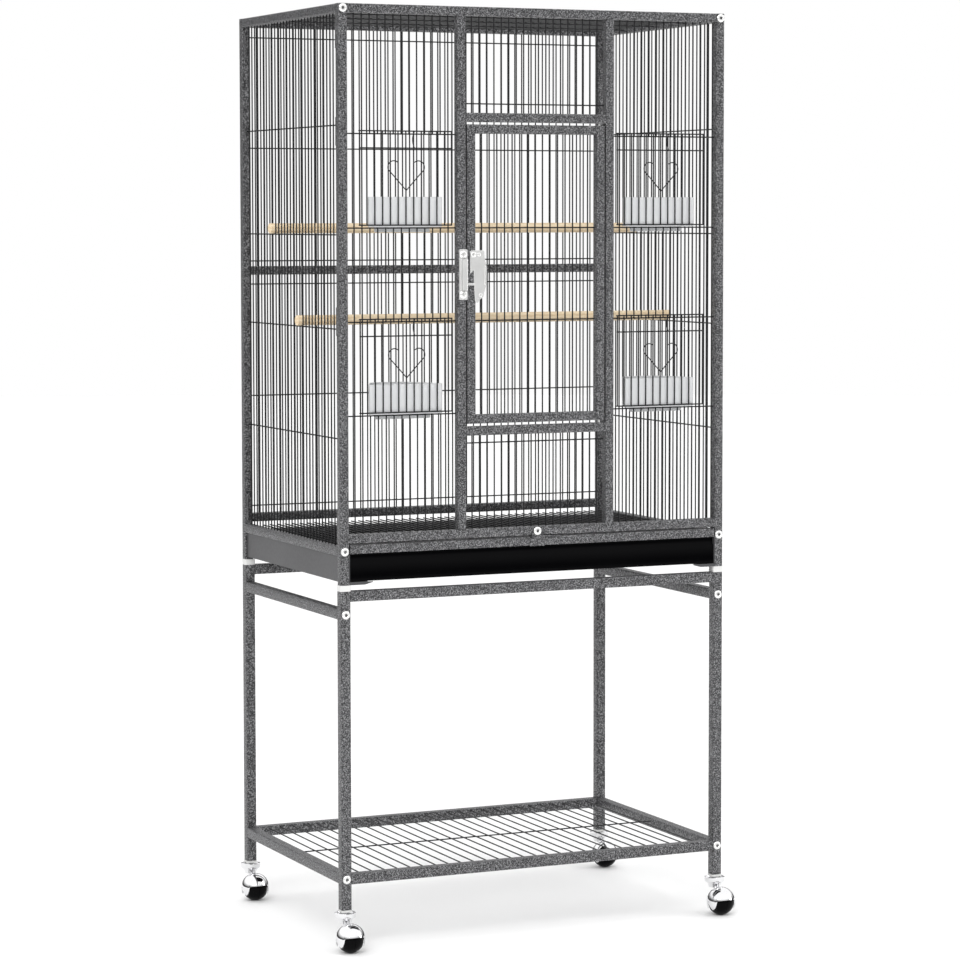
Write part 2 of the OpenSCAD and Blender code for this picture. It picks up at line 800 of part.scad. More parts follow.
module caster_wheel() {
    color(WIRE_COLOR) translate([0, -trail, wheel_r]) difference() {
        intersection() {
            sphere(r = wheel_r, $fn = 64);
            cube([wheel_w, wheel_d, wheel_d], center = true);
        }
        rotate([0, 90, 0]) cylinder(h = wheel_d, r = axle_r + run, center = true, $fn = round_fn);
    }
}

module at_leg(sx, sy) {
    translate([sx * leg_x, sy * leg_y, 0]) children();
}

// Everything is drawn about the cage's centre and moved as one
module placed() {
    translate([0, plan_shift, 0]) children();
}

placed() stand_legs();
placed() stand_top_rails();
placed() stand_side_rails();
placed() shelf_rails();
placed() shelf_grid();
placed() stand_bolts();
placed() caster_sockets();
placed() post_spacers();
placed() cage_posts();
placed() front_top_rail();
placed() front_bottom_rail();
placed() door_posts();
placed() door_header();
placed() door_sill();
placed() back_rails();
placed() side_rails(-1);  // side_rails_left
placed() side_rails(1);  // side_rails_right
placed() front_bars_left();
placed() front_bars_right();
placed() front_bars_over_door();
placed() front_bars_under_door();
placed() back_bars_upper();
placed() back_bars_lower();
placed() side_bars(-1);  // side_bars_left
placed() side_bars(1);  // side_bars_right
placed() roof_bars();
placed() side_skirts();
placed() hook_plates();
placed() cage_bolts();
placed() tray_runners();
placed() latch_keeper();
placed() perch_upper();
placed() perch_lower();
placed() door_hinge_bushes();
placed() door_frame();
placed() door_bars();
placed() door_hinge_pins();
placed() latch_pivot_screw();
placed() latch_lever();
placed() feeder_door(-1, 0);  // feeder_door_upper_left
placed() feeder_door(1, 0);  // feeder_door_upper_right
placed() feeder_door(-1, 2);  // feeder_door_lower_left
placed() feeder_door(1, 2);  // feeder_door_lower_right
placed() feeder_cup(-1, 0);  // feeder_cup_upper_left
placed() feeder_cup(1, 0);  // feeder_cup_upper_right
placed() feeder_cup(-1, 1);  // feeder_cup_lower_left
placed() feeder_cup(1, 1);  // feeder_cup_lower_right
placed() grate_front_bar();
placed() grate_wires();
placed() drip_tray();
placed() grate_clip();
placed() at_leg(-1, -1) caster_hood();  // caster_hood_front_left
placed() at_leg(1, -1) caster_hood();  // caster_hood_front_right
placed() at_leg(-1, 1) caster_hood();  // caster_hood_back_left
placed() at_leg(1, 1) caster_hood();  // caster_hood_back_right
placed() at_leg(-1, -1) caster_wheel();  // caster_wheel_front_left
placed() at_leg(1, -1) caster_wheel();  // caster_wheel_front_right
placed() at_leg(-1, 1) caster_wheel();  // caster_wheel_back_left
placed() at_leg(1, 1) caster_wheel();  // caster_wheel_back_right
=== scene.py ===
"""A wire bird cage on a wheeled stand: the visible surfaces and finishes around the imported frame."""

import json
import math

import bmesh
import bpy
import numpy as np
from mathutils import Matrix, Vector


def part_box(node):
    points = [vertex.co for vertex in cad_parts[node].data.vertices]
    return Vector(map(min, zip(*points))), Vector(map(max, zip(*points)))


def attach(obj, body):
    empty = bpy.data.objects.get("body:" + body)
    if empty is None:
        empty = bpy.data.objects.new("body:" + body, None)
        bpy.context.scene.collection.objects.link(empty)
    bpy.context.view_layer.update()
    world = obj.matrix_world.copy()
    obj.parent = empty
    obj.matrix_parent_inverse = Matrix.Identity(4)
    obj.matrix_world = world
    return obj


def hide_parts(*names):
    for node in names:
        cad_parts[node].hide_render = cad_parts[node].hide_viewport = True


bl_info = {
    "name": "Bird Cage on Stand",
    "version": (1, 0, 0),
    "blender": (4, 5, 0),
    "location": "3D View > Sidebar > Bird Cage",
    "description": "Builds the wires, tubes, fittings and finishes of a bird cage around its packed frame",
    "category": "Add Mesh",
}

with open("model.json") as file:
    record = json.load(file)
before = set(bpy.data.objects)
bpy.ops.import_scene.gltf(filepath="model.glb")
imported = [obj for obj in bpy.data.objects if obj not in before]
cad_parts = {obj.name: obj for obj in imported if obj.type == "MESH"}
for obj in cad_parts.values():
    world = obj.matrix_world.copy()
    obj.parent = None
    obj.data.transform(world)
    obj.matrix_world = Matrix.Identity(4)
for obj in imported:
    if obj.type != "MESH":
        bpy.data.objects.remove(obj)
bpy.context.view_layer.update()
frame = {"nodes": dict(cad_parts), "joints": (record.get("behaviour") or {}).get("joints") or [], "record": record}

ROWS = ("upper", "lower")
FEEDERS = tuple(f"{row}_{side}" for row in ROWS for side in ("left", "right"))
CORNERS = ("front_left", "front_right", "back_left", "back_right")
JOINT_AT = {joint["name"]: joint.get("pos_m") for joint in frame["joints"]}
BODY_OF_NODE = {
    node: body for body, nodes in frame["record"]["behaviour"]["bodies"].items() for node in nodes
}

# Axes by number, and how near two measures are to be the same one
X, Y, Z = 0, 1, 2
NEAR = 2e-5
MERGE = 2e-6


# ---- Settings ----


def number(name, description, default, **kind):
    """A number that a user may change; kind gives its unit, subtype or limits."""
    return bpy.props.FloatProperty(name=name, description=description, default=default, **kind)


def colour_property(name, description, default):
    """A linear colour that a user may change."""
    return bpy.props.FloatVectorProperty(
        name=name, description=description, subtype="COLOR", size=3, min=0.0, max=1.0, default=default
    )


class CageWireSettings(bpy.types.PropertyGroup):
    """Sizes of the round wires."""

    sides: bpy.props.IntProperty(
        name="Sides", description="Flats round each straight wire", default=10, min=6, max=24
    )
    diameter: number("Wire", "Diameter of the bars", 0.002, min=0.0005, unit="LENGTH")
    thin: number("Thin wire", "Diameter of hearts and hooks", 0.0016, min=0.0005, unit="LENGTH")
    bead: number("Weld bead", "Half width of the bead at a crossing", 0.0015, unit="LENGTH")


class CageTubeSettings(bpy.types.PropertyGroup):
    """Section of the square tubes."""

    wall: number("Wall", "Wall of the square tubes", 0.001, min=0.0003, unit="LENGTH")
    corner: number("Corner radius", "Outer corner radius", 0.0016, min=0.0002, unit="LENGTH")
    arc_steps: bpy.props.IntProperty(
        name="Corner steps", description="Flats round one corner", default=5, min=2, max=12
    )


class CageColours(bpy.types.PropertyGroup):
    """Linear colours of the finishes."""

    coat_dark: colour_property("Coat pits", "Dark ground of the hammered coat", (0.016, 0.016, 0.017))
    coat_mid: colour_property("Coat body", "Middle tone of the hammered coat", (0.070, 0.070, 0.073))
    coat_light: colour_property("Coat flake", "Silver vein of the hammered coat", (0.34, 0.34, 0.35))
    sheet: colour_property("Sheet coat", "Smooth coat of skirts and runners", (0.060, 0.060, 0.063))
    wire: colour_property("Wire coat", "Coat of the bars", (0.010, 0.010, 0.011))
    zinc: colour_property("Zinc", "Zinc plate of latch and bolts", (0.92, 0.92, 0.91))
    chrome: colour_property("Chrome", "Plate of the caster hoods", (0.86, 0.86, 0.87))
    white: colour_property("White plastic", "Sockets and spacers", (0.74, 0.74, 0.73))
    cup: colour_property("Cup plastic", "Feeder cups", (0.80, 0.81, 0.82))
    pine: colour_property("Pine", "Pale wood of the perches", (0.84, 0.70, 0.49))
    pine_ring: colour_property("Pine ring", "Late wood of the perches", (0.64, 0.46, 0.27))
    tray: colour_property("Tray enamel", "Gloss coat of the tray", (0.0015, 0.0015, 0.0018))
    tyre: colour_property("Wheel plastic", "Caster wheels", (0.0015, 0.0015, 0.0018))


class CageStageSettings(bpy.types.PropertyGroup):
    """Camera and lights."""

    location: bpy.props.FloatVectorProperty(
        name="Camera", description="Where the camera stands", subtype="TRANSLATION", size=3,
        default=(-1.9765, -4.3463, 1.0399),
    )
    turn: number("Turn", "Heading of the camera to the right of +Y", math.radians(24.40), subtype="ANGLE")
    dip: number("Dip", "How far the camera looks down", math.radians(3.84), subtype="ANGLE")
    roll: number("Roll", "Tilt about the line of sight", math.radians(-0.071), subtype="ANGLE")
    lens: number("Lens", "Focal length on a 36 mm wide sensor", 119.72, subtype="DISTANCE_CAMERA")
    shift: number("Shift", "Vertical shift as a share of the frame", -0.05, min=-0.05, max=0.05)
    key_power: number("Key light", "Power of the large light at the front left", 60.0, unit="POWER")
    fill_power: number("Fill light", "Power of the light at the right", 25.0, unit="POWER")


SETTINGS = {
    "cage_wire": CageWireSettings,
    "cage_tube": CageTubeSettings,
    "cage_colours": CageColours,
    "cage_stage": CageStageSettings,
}


# ---- Finishes ----


class Term:
    """A shader socket in an expression: +, -, * and / add the Math nodes that say the same."""

    def __init__(self, shading, socket):
        self.shading = shading
        self.socket = socket

    def _math(self, operation, first, second):
        return self.shading.node("ShaderNodeMath", {"operation": operation}, {0: first, 1: second})

    def __add__(self, other):
        return self._math("ADD", self, other)

    def __radd__(self, other):
        return self._math("ADD", other, self)

    def __sub__(self, other):
        return self._math("SUBTRACT", self, other)

    def __rsub__(self, other):
        return self._math("SUBTRACT", other, self)

    def __mul__(self, other):
        return self._math("MULTIPLY", self, other)

    def __rmul__(self, other):
        return self._math("MULTIPLY", other, self)

    def __truediv__(self, other):
        return self._math("DIVIDE", self, other)

    def __rtruediv__(self, other):
        return self._math("DIVIDE", other, self)


class Shading:
    """A tree of shader nodes: node() is the single way in which nodes are added."""

    def __init__(self, tree):
        self.tree = tree

    def node(self, kind, settings=None, inputs=None, out=0):
        """Adds a node: its settings first, then the values or links of its sockets."""
        made = self.tree.nodes.new(kind)
        for key, value in (settings or {}).items():
            if key == "stops":
                self._stops(made.color_ramp, value)
            else:
                setattr(made, key, value)
        for key, value in (inputs or {}).items():
            self.join(made.inputs[key], value)
        return Term(self, made.outputs[out])

    def _stops(self, ramp, stops):
        while len(ramp.elements) < len(stops):
            ramp.elements.new(1.0)
        for element, (position, colour) in zip(ramp.elements, stops):
            element.position = position
            element.color = (*colour, 1.0)

    def join(self, socket, value):
        """Links a socket to a term, or gives it a plain value."""
        if isinstance(value, Term):
            self.tree.links.new(value.socket, socket)
        else:
            socket.default_value = value


class Finish(Shading):
    """One material, read in the object's own coordinates."""

    def __init__(self, name, metallic=0.0, **constants):
        self.material = bpy.data.materials.new(name)
        self.material.use_nodes = True
        super().__init__(self.material.node_tree)
        self.shader = self.tree.nodes["Principled BSDF"]
        self.place = self.node("ShaderNodeTexCoord", out="Object")
        self.put("Metallic", metallic)
        for socket, value in constants.items():
            self.put(socket.replace("_", " "), value)

    def put(self, socket, value):
        """Sets or links a socket of the shader itself."""
        self.join(self.shader.inputs[socket], value)

    def colour(self, rgb):
        """A plain colour as a socket's four numbers."""
        return (*rgb, 1.0)

    def noise(self, scale, detail=2.0, stretch=(1.0, 1.0, 1.0), rough=0.5):
        """Fractal noise whose grain is one over scale, in metres, longer where stretch is under 1."""
        placed = self.node("ShaderNodeMapping", inputs={"Vector": self.place, "Scale": stretch})
        sockets = {"Vector": placed, "Scale": scale, "Detail": detail, "Roughness": rough}
        return self.node("ShaderNodeTexNoise", inputs=sockets)

    def ramp(self, factor, *stops):
        """Colours by factor, each stop a position and a colour."""
        return self.node("ShaderNodeValToRGB", {"stops": stops}, {"Fac": factor})

    def blend(self, factor, first, second):
        """Two colours mixed by factor."""
        return self.node(
            "ShaderNodeMix", {"data_type": "RGBA"}, {0: factor, 6: first, 7: second}, out=2
        )

    def bump(self, height, distance, strength=1.0):
        """Relief of the given depth in metres."""
        self.put("Normal", self.node(
            "ShaderNodeBump", inputs={"Strength": strength, "Distance": distance, "Height": height}
        ))


def hammered_coat(colours):
    """Powder coat whose silver vein wrinkles over a black ground, a few millimetres across."""
    coat = Finish("hammered_coat", metallic=0.35, Specular_IOR_Level=0.5)
    vein = coat.noise(520.0, detail=3.0, rough=0.62)
    flake = coat.noise(1400.0, detail=1.0)
    mark = vein * 0.72 + flake * 0.28
    stops = (0.40, colours.coat_dark), (0.50, colours.coat_mid), (0.62, colours.coat_light)
    coat.put("Base Color", coat.ramp(mark, *stops))
    coat.put("Roughness", 0.62 - mark * 0.42)
    coat.bump(mark, 0.0005, 0.7)
    return coat.material


def smooth_coat(name, rgb, roughness, grain=240.0, depth=0.00008, **constants):
    """Powder coat with faint orange peel and slow drifts of tone."""
    coat = Finish(name, metallic=0.1, **constants)
    drift = coat.noise(9.0, detail=3.0)
    peel = coat.noise(grain, detail=2.0)
    dark = coat.colour([0.75 * c for c in rgb])
    light = coat.colour([min(1.0, 1.35 * c) for c in rgb])
    coat.put("Base Color", coat.blend(drift, dark, light))
    coat.put("Roughness", roughness - 0.08 + peel * 0.16)
    coat.bump(peel, depth, 0.5)
    return coat.material


def plated(name, rgb, roughness, grain, depth, spread, metallic=1.0):
    """Plated steel: fine scratches drawn along Z, and a clouded gloss."""
    plate = Finish(name, metallic=metallic)
    scratch = plate.noise(grain, detail=3.0, stretch=(1.0, 1.0, 0.08))
    cloud = plate.noise(60.0, detail=3.0)
    dark = plate.colour([0.86 * c for c in rgb])
    plate.put("Base Color", plate.blend(cloud, dark, plate.colour(rgb)))
    plate.put("Roughness", roughness + cloud * spread)
    plate.bump(scratch, depth, 0.4)
    return plate.material


def moulded_plastic(name, rgb, roughness, **constants):
    """Injection-moulded plastic with a soft satin grain."""
    plastic = Finish(name, **constants)
    cloud = plastic.noise(14.0, detail=2.0)
    grain = plastic.noise(1400.0, detail=1.0)
    dark = plastic.colour([0.93 * c for c in rgb])
    plastic.put("Base Color", plastic.blend(cloud, dark, plastic.colour(rgb)))
    plastic.put("Roughness", roughness - 0.05 + grain * 0.1)
    plastic.bump(grain, 0.00003, 0.5)
    return plastic.material


def bare_pine(colours):
    """A turned softwood dowel: long grain along X, growth rings and dark fibres."""
    wood = Finish("bare_pine")
    grain = wood.noise(190.0, detail=4.0, stretch=(0.035, 1.0, 1.0), rough=0.6)
    fibre = wood.noise(900.0, detail=2.0, stretch=(0.02, 1.0, 1.0))
    ring = wood.node(
        "ShaderNodeTexWave",
        {"wave_type": "BANDS", "bands_direction": "Z", "wave_profile": "SIN"},
        {"Vector": wood.place, "Scale": 55.0, "Distortion": 3.0, "Detail": 2.0, "Detail Scale": 1.5},
    )
    mark = grain * 0.6 + ring * 0.25 + fibre * 0.15
    stops = (0.30, colours.pine), (0.58, [0.5 * (a + b) for a, b in zip(colours.pine, colours.pine_ring)])
    wood.put("Base Color", wood.ramp(mark, *stops, (0.78, colours.pine_ring)))
    wood.put("Roughness", 0.70 - fibre * 0.2)
    wood.bump(fibre + grain, 0.00015, 0.5)
    return wood.material


def make_finishes(colours):
    """Every finish, by the record's slot."""
    wire, tray, tyre = colours.wire, colours.tray, colours.tyre
    return {
        "powder_coat": hammered_coat(colours),
        "sheet_coat": smooth_coat("sheet_coat", colours.sheet, 0.42),
        "black_wire": smooth_coat("wire_coat", wire, 0.42, 700.0, 0.00004, Specular_IOR_Level=0.3),
        "zinc": plated("bright_zinc", colours.zinc, 0.22, 900.0, 0.00003, 0.05, metallic=0.6),
        "chrome": plated("chrome_plate", colours.chrome, 0.04, 300.0, 0.00001, 0.03),
        "white_plastic": moulded_plastic("white_plastic", colours.white, 0.45),
        "cup_plastic": moulded_plastic("cup_plastic", colours.cup, 0.32, Transmission_Weight=0.25, IOR=1.45),
        "pine": bare_pine(colours),
        "tray_enamel": smooth_coat("tray_enamel", tray, 0.16, 120.0, 0.00003, Specular_IOR_Level=0.05),
        "wheel_black": moulded_plastic("wheel_plastic", tyre, 0.24, Specular_IOR_Level=0.06),
    }


FINISHES = {}


def finish_for(slot):
    """The material of a record slot, made once."""
    if not FINISHES:
        FINISHES.update(make_finishes(bpy.context.scene.cage_colours))
    return FINISHES[slot]


# ---- Surfaces ----


def grid_faces(rows, columns, wrap_rows=False, wrap_columns=False):
    """Quads of a rows by columns grid of points; a wrapped side joins its last line to its first."""
    r = np.arange(rows if wrap_rows else rows - 1)[:, None]
    c = np.arange(columns if wrap_columns else columns - 1)[None, :]
    r2, c2 = (r + 1) % rows, (c + 1) % columns
    quad = np.stack([r * columns + c, r * columns + c2, r2 * columns + c2, r2 * columns + c], axis=-1)
    return quad.reshape(-1, 4)


def repeated(points, faces):
    """Points shaped (copies, n, 3) and the faces of one copy, as one set of points and faces."""
    copies, count = points.shape[:2]
    step = (np.arange(copies) * count)[:, None, None]
    return points.reshape(-1, 3), (faces[None] + step).reshape(-1, faces.shape[1])


def joined(*surfaces):
    """Several sets of points and faces as one; faces stay lists, so that their sizes may differ."""
    points, faces, base = [], [], 0
    for part_points, part_faces in surfaces:
        points.append(np.asarray(part_points, float).reshape(-1, 3))
        faces += [[int(k) + base for k in face] for face in part_faces]
        base += len(points[-1])
    return np.vstack(points), faces


def moved(surface, offset):
    """The same surface shifted by offset."""
    points, faces = surface
    return points + offset, faces


def new_piece(name, surface, slot, body, replaced=(), sharp=math.radians(40), bevel=0.0, steps=2):
    """A piece from points and faces: poles and seams closed, faces turned outwards, edges rounded."""
    points, faces = surface
    mesh = bpy.data.meshes.new(name)
    mesh.from_pydata(np.asarray(points).tolist(), [], [list(f) for f in faces])
    shell = bmesh.new()
    shell.from_mesh(mesh)
    bmesh.ops.remove_doubles(shell, verts=shell.verts, dist=MERGE)
    bmesh.ops.dissolve_degenerate(shell, edges=shell.edges, dist=MERGE)
    bmesh.ops.recalc_face_normals(shell, faces=shell.faces)
    shell.to_mesh(mesh)
    shell.free()
    mesh.shade_smooth()
    mesh.set_sharp_from_angle(angle=sharp)
    mesh.materials.append(finish_for(slot))
    piece = bpy.data.objects.new(name, mesh)
    bpy.context.scene.collection.objects.link(piece)
    if bevel:
        rounding = piece.modifiers.new("rounded_edges", "BEVEL")
        rounding.width = bevel
        rounding.segments = steps
        rounding.limit_method = "ANGLE"
        rounding.angle_limit = sharp
    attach(piece, body)
    if replaced:
        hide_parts(*replaced)
    return piece


def rods(starts, ends, radius, sides):
    """Straight round wires: a circle carried from each start to each end, its two rims rounded off.

    The rims are rings at half and full radius, and the ends are closed by a point on the axis.
    """
    starts, ends = np.asarray(starts, float), np.asarray(ends, float)
    along = ends - starts
    length = np.linalg.norm(along, axis=1, keepdims=True)
    along = along / length
    aside = np.cross(along, np.where(np.abs(along[:, [Z]]) > 0.9, [[1.0, 0, 0]], [[0, 0, 1.0]]))
    aside /= np.linalg.norm(aside, axis=1, keepdims=True)
    over = np.cross(along, aside)
    turn = np.linspace(0, 2 * np.pi, sides, endpoint=False)
    circle = aside[:, None] * np.cos(turn)[:, None] + over[:, None] * np.sin(turn)[:, None]
    ring_radius = radius * np.array([0.0, 0.72, 1.0, 1.0, 0.72, 0.0])
    inset = 0.28 * radius * np.array([0.0, 0.0, 1.0, -1.0, 0.0, 0.0])
    share = np.array([0, 0, 0, 1, 1, 1])[:, None]
    at = starts[:, None] + along[:, None] * (inset[:, None] + share * length[:, None])
    points = at[:, :, None] + circle[:, None] * ring_radius[:, None, None]
    return repeated(points.reshape(len(starts), -1, 3), grid_faces(6, sides, wrap_columns=True))


def beads(centres, half):
    """Weld beads: a flattened ball of half the given width at each centre."""
    lift = np.linspace(-np.pi / 2, np.pi / 2, 5)[:, None]
    turn = np.linspace(0, 2 * np.pi, 6, endpoint=False)[None]
    ball = np.stack(
        [np.cos(lift) * np.cos(turn), np.cos(lift) * np.sin(turn), np.sin(lift) + 0 * turn], axis=-1
    ).reshape(-1, 3)
    points = np.asarray(centres)[:, None] + ball * np.asarray(half)
    return repeated(points, grid_faces(5, 6, wrap_columns=True))


def bent_wire(path, across, radius, sides=10):
    """A round wire along a flat curve: a circle carried along the path, square to it.

    across is the direction square to the plane of the curve; both ends close on the path.
    """
    path = np.asarray(path, float)
    along = np.gradient(path, axis=0)
    along /= np.linalg.norm(along, axis=1, keepdims=True)
    across = np.asarray(across, float)
    aside = np.cross(along, across)
    turn = np.linspace(0, 2 * np.pi, sides, endpoint=False)
    circle = aside[:, None] * np.cos(turn)[:, None] + across * np.sin(turn)[:, None]
    centre = np.vstack([path[:1], path, path[-1:]])
    circle = np.concatenate([circle[:1], circle, circle[-1:]])
    size = np.concatenate([[0.0], np.full(len(path), radius), [0.0]])
    points = centre[:, None] + circle * size[:, None, None]
    return points.reshape(-1, 3), grid_faces(len(centre), sides, wrap_columns=True)


def revolved(profile, centre, axis, sides=48):
    """A surface of revolution: each (radius, height) of the profile turned about an axis through centre."""
    radius, height = np.asarray(profile, float).T
    turn = np.linspace(0, 2 * np.pi, sides, endpoint=False)
    first, second = (axis + 1) % 3, (axis + 2) % 3
    points = np.zeros((len(radius), sides, 3))
    points[..., first] = radius[:, None] * np.cos(turn)
    points[..., second] = radius[:, None] * np.sin(turn)
    points[..., axis] = height[:, None]
    return (points + np.asarray(centre)).reshape(-1, 3), grid_faces(len(radius), sides, wrap_columns=True)


def arc(centre_a, centre_b, radius, start, end, steps):
    """Points of a circular arc in a plane, angles in degrees."""
    turn = np.radians(np.linspace(start, end, steps))
    return np.stack([centre_a + radius * np.cos(turn), centre_b + radius * np.sin(turn)], axis=-1)


def rounded_outline(width, depth, radius, steps):
    """A rectangle about the origin whose corners are quarter circles, counter-clockwise."""
    half_w, half_d = width / 2 - radius, depth / 2 - radius
    corners = ((half_w, half_d, 0), (-half_w, half_d, 90), (-half_w, -half_d, 180), (half_w, -half_d, 270))
    return np.vstack([arc(x, y, radius, start, start + 90, steps + 1) for x, y, start in corners])


def prism(outline, axis, start, end):
    """A closed outline carried straight along an axis from start to end, and closed by two faces.

    The outline's two columns are the other two axes, in the order X, Y, Z.
    """
    outline = np.asarray(outline, float)
    count = len(outline)
    points = np.empty((2, count, 3))
    points[..., [k for k in (X, Y, Z) if k != axis]] = outline
    points[..., axis] = [[start], [end]]
    sides = grid_faces(2, count, wrap_columns=True).tolist()
    return points.reshape(-1, 3), [*sides, list(range(count)), list(range(2 * count - 1, count - 1, -1))]


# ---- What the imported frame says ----


def solid_points(node):
    """The corner points of each separate solid in a CAD node.

    Every point takes the lowest label found among its triangles until no label changes.
    """
    mesh = frame["nodes"][node].data
    places = np.empty(len(mesh.vertices) * 3)
    mesh.vertices.foreach_get("co", places)
    mesh.calc_loop_triangles()
    corners = np.empty(len(mesh.loop_triangles) * 3, np.int64)
    mesh.loop_triangles.foreach_get("vertices", corners)
    points, same = np.unique(np.round(places.reshape(-1, 3), 5), axis=0, return_inverse=True)
    triangles = same.ravel()[corners].reshape(-1, 3)
    label = np.arange(len(points))
    while True:
        lower = label.copy()
        np.minimum.at(lower, triangles, label[triangles].min(axis=1)[:, None])
        lower = lower[lower]
        if np.array_equal(lower, label):
            break
        label = lower
    return [points[label == k] for k in np.unique(label)]


def clumps(values, gap):
    """Indices of sorted values, parted wherever two neighbours are more than gap apart."""
    order = np.argsort(values)
    breaks = np.nonzero(np.diff(values[order]) > gap)[0] + 1
    return np.split(order, breaks)


def wires_of(node, diameter):
    """Start and end of every straight wire in a CAD node.

    A wire ends in a ring of eight corners in the low face of its solid's box, so each such ring
    found there is one wire, and it runs to the opposite face.
    """
    found = []
    for points in solid_points(node):
        low, high = points.min(axis=0), points.max(axis=0)
        for axis in (X, Y, Z):
            first, second = (axis + 1) % 3, (axis + 2) % 3
            rim = points[points[:, axis] < low[axis] + NEAR]
            for column in clumps(rim[:, first], 0.75 * diameter):
                for spot in clumps(rim[column][:, second], 0.75 * diameter):
                    ring = rim[column][spot]
                    wide = np.ptp(ring, axis=0)
                    round_enough = len(ring) >= 8 and min(wide[first], wide[second]) > 0.8 * diameter
                    if round_enough and max(wide[first], wide[second]) < 1.3 * diameter:
                        start = (ring.min(axis=0) + ring.max(axis=0)) / 2
                        end = start.copy()
                        start[axis], end[axis] = low[axis], high[axis]
                        found.append((axis, start, end))
    return found


def crossings(wires, reach):
    """Points where two wires that run along different axes touch."""
    found = []
    for axis in (X, Y, Z):
        for other in range(axis + 1, 3):
            third = 3 - axis - other
            first = [(s, e) for a, s, e in wires if a == axis]
            second = [(s, e) for a, s, e in wires if a == other]
            if not first or not second:
                continue
            s1, e1 = (np.array(v)[:, None] for v in zip(*first))
            s2, e2 = (np.array(v)[None] for v in zip(*second))
            touch = np.abs(s1[..., third] - s2[..., third]) < reach
            on_first = (s2[..., axis] > s1[..., axis] - NEAR) & (s2[..., axis] < e1[..., axis] + NEAR)
            on_second = (s1[..., other] > s2[..., other] - NEAR) & (s1[..., other] < e2[..., other] + NEAR)
            meet = touch & on_first & on_second
            place = np.zeros((*meet.shape, 3))
            place[..., axis] = s2[..., axis]
            place[..., other] = s1[..., other]
            place[..., third] = (s1[..., third] + s2[..., third]) / 2
            found.append(place[meet])
    return np.vstack(found) if found else np.zeros((0, 3))


def square_tube(points, tube):
    """A hollow square tube in the place of a solid: outer skin, inner skin and the rims between them."""
    low, high = points.min(axis=0), points.max(axis=0)
    axis = int(np.argmax(high - low))
    first, second = (axis + 1) % 3, (axis + 2) % 3
    size = min(high[first] - low[first], high[second] - low[second])
    bore = size - 2 * tube.wall
    ease, least_radius = 0.0002, 0.0003
    outer = rounded_outline(size, size, tube.corner, tube.arc_steps)
    inner = rounded_outline(bore, bore, max(tube.corner - tube.wall, least_radius), tube.arc_steps)
    eased = outer * (1 - 2 * ease / size)
    rings = [
        (inner, low[axis]), (eased, low[axis]), (outer, low[axis] + ease),
        (outer, high[axis] - ease), (eased, high[axis]), (inner, high[axis]),
    ]
    centre = (low + high) / 2
    surface = np.zeros((len(rings), len(outer), 3))
    for row, (outline, level) in enumerate(rings):
        surface[row, :, first] = centre[first] + outline[:, 0]
        surface[row, :, second] = centre[second] + outline[:, 1]
        surface[row, :, axis] = level
    return surface.reshape(-1, 3), grid_faces(len(rings), len(outer), wrap_rows=True, wrap_columns=True)


# ---- Operators ----


class PieceOperator(bpy.types.Operator):
    """Shared by the operators: each makes its pieces and finishes, or raises an error."""

    bl_options = {"REGISTER", "UNDO"}

    def execute(self, context):
        self.make(context.scene)
        return {"FINISHED"}


